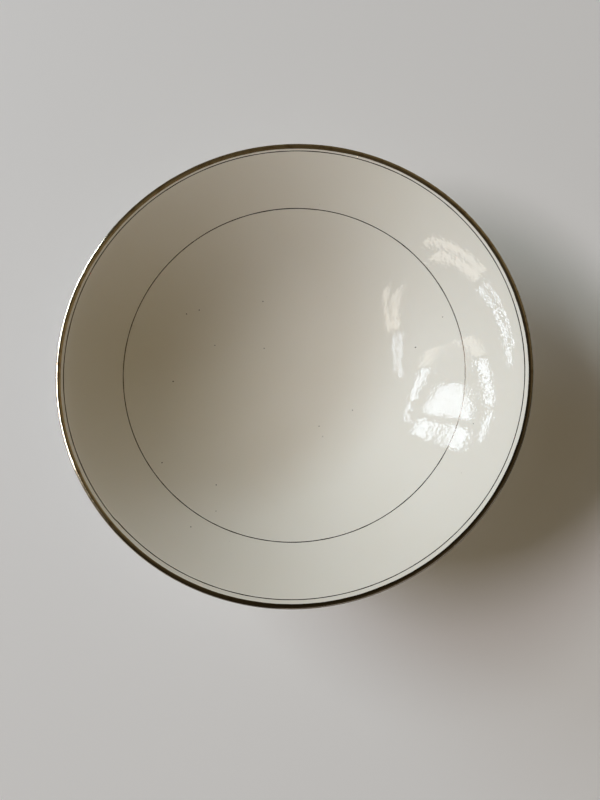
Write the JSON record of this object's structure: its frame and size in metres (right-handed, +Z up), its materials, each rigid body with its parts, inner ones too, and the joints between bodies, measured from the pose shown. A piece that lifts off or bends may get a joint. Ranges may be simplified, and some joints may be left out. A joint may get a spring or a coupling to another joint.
{
  "type": "serving bowl",
  "caption": "Round open porcelain serving bowl with a flared curved wall, a foot ring, a metal band over the lip and fine metal lines inside.",
  "frame": {"origin": "on the bowl's axis, at the level of the flat seat under the foot ring", "axes": "+Z up along the bowl's axis of revolution; X and Y are any two level directions"},
  "size_m": [0.25, 0.25, 0.0623],
  "materials": {
    "porcelain_glaze": "gloss",
    "foot_porcelain": "satin",
    "rim_metal": "polished",
    "line_metal": "satin"
  },
  "bodies": {
    "root": {"bowl_body": "porcelain_glaze", "foot_ring": "foot_porcelain", "rim_band": "rim_metal", "rim_line": "line_metal", "well_line": "line_metal"}
  },
  "joints": []
}
